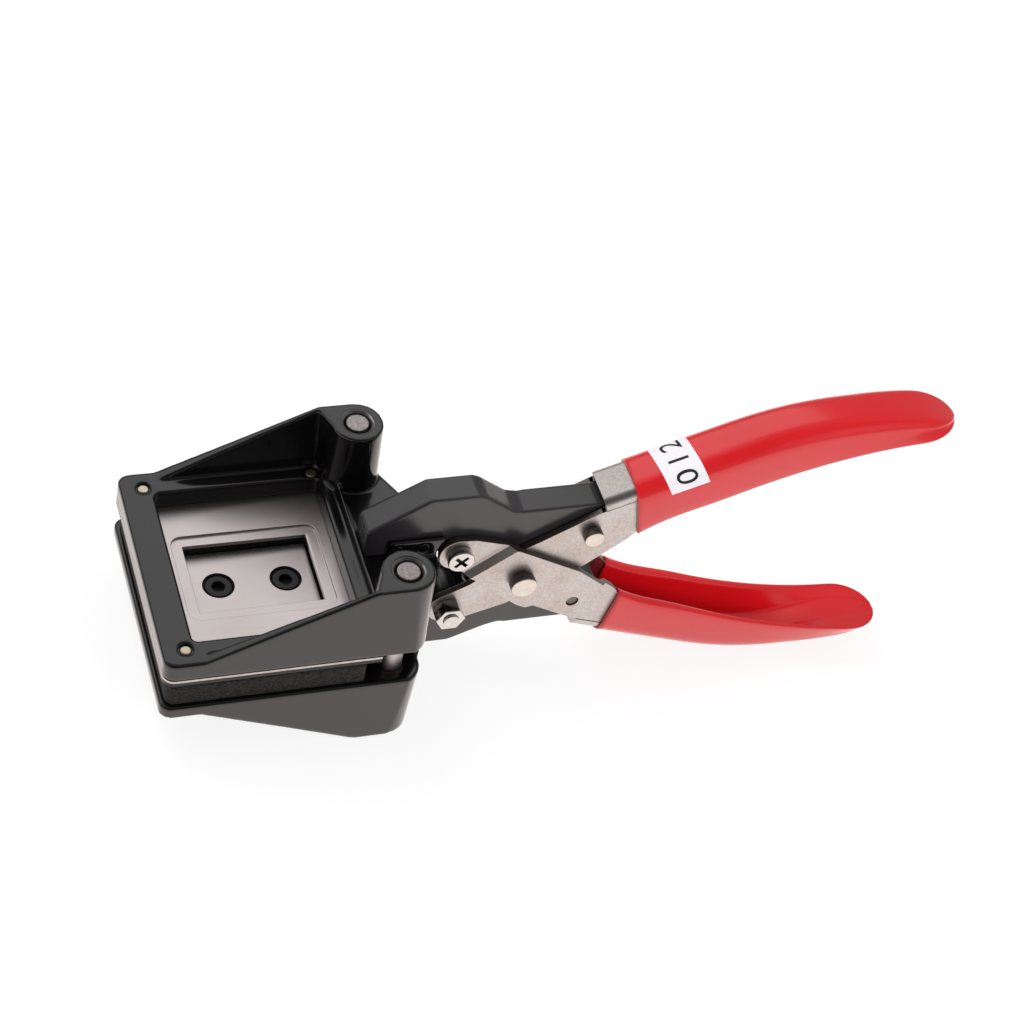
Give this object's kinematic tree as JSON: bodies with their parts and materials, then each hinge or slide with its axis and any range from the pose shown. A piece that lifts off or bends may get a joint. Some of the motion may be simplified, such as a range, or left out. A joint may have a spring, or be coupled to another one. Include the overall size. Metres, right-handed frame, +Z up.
{
  "type": "id photo cutter",
  "caption": "Hand-held plier punch for ID photo prints: a framed die on guide posts comes down over a flat punch, driven by parallel-action handles with dipped vinyl grips.",
  "frame": {"origin": "below the middle of the tool, at the lowest point of the lower grip", "axes": "+X along the tool from the cutting head to the grips, +Y across it, +Z up from the punch to the die"},
  "size_m": [0.2156, 0.064, 0.0906],
  "materials": {
    "enamel": "gloss",
    "sheet_steel": "satin",
    "ground_steel": "satin",
    "plated_steel": "gloss",
    "rivet_steel": "satin",
    "black_oxide": "satin",
    "red_vinyl": "gloss",
    "foam_rubber": "matte"
  },
  "bodies": {
    "lower_head": {"lower_frame": "enamel", "lower_arm": "enamel", "lower_arm_pins": "black_oxide", "punch_block": "ground_steel", "punch_screws": "black_oxide", "stripper_pad": "foam_rubber", "guide_posts": "ground_steel", "lower_jaw_bolt": "plated_steel", "lower_jaw_nut": "plated_steel", "return_spring": "sheet_steel"},
    "upper_head": {"upper_frame": "enamel", "upper_arm": "enamel", "upper_arm_pins": "black_oxide", "die_plate": "ground_steel", "die_screws": "plated_steel", "upper_jaw_bolt": "plated_steel", "upper_jaw_nut": "plated_steel"},
    "upper_handle": {"upper_handle_plate": "sheet_steel", "upper_grip": "red_vinyl", "centre_rivet": "rivet_steel", "upper_slide_rivet": "rivet_steel"},
    "lower_handle": {"lower_handle_plate": "sheet_steel", "lower_grip": "red_vinyl", "lower_slide_rivet": "rivet_steel"}
  },
  "joints": [
    {"name": "upper_handle_swing", "type": "hinge", "parent": "lower_head", "child": "upper_handle", "pos_m": [-0.0269, 0, 0.0349], "axis": [0, 1, 0], "range_deg": [0, 6.12], "stiffness_Nm_per_rad": 1.5, "springref_deg": -17.19},
    {"name": "head_slide", "type": "slide", "parent": "lower_head", "child": "upper_head", "axis": [0, 0, -1], "range_m": [0, 0.004], "deforming": ["stripper_pad", "return_spring"]},
    {"name": "lower_handle_swing", "type": "hinge", "parent": "upper_head", "child": "lower_handle", "pos_m": [-0.0269, 0, 0.0557], "axis": [0, -1, 0], "range_deg": [0, 6.12]}
  ],
  "couplings": [
    {"joint": "head_slide", "follows": "upper_handle_swing", "m_per_rad": 0.037442},
    {"joint": "lower_handle_swing", "follows": "upper_handle_swing", "ratio": 1}
  ]
}
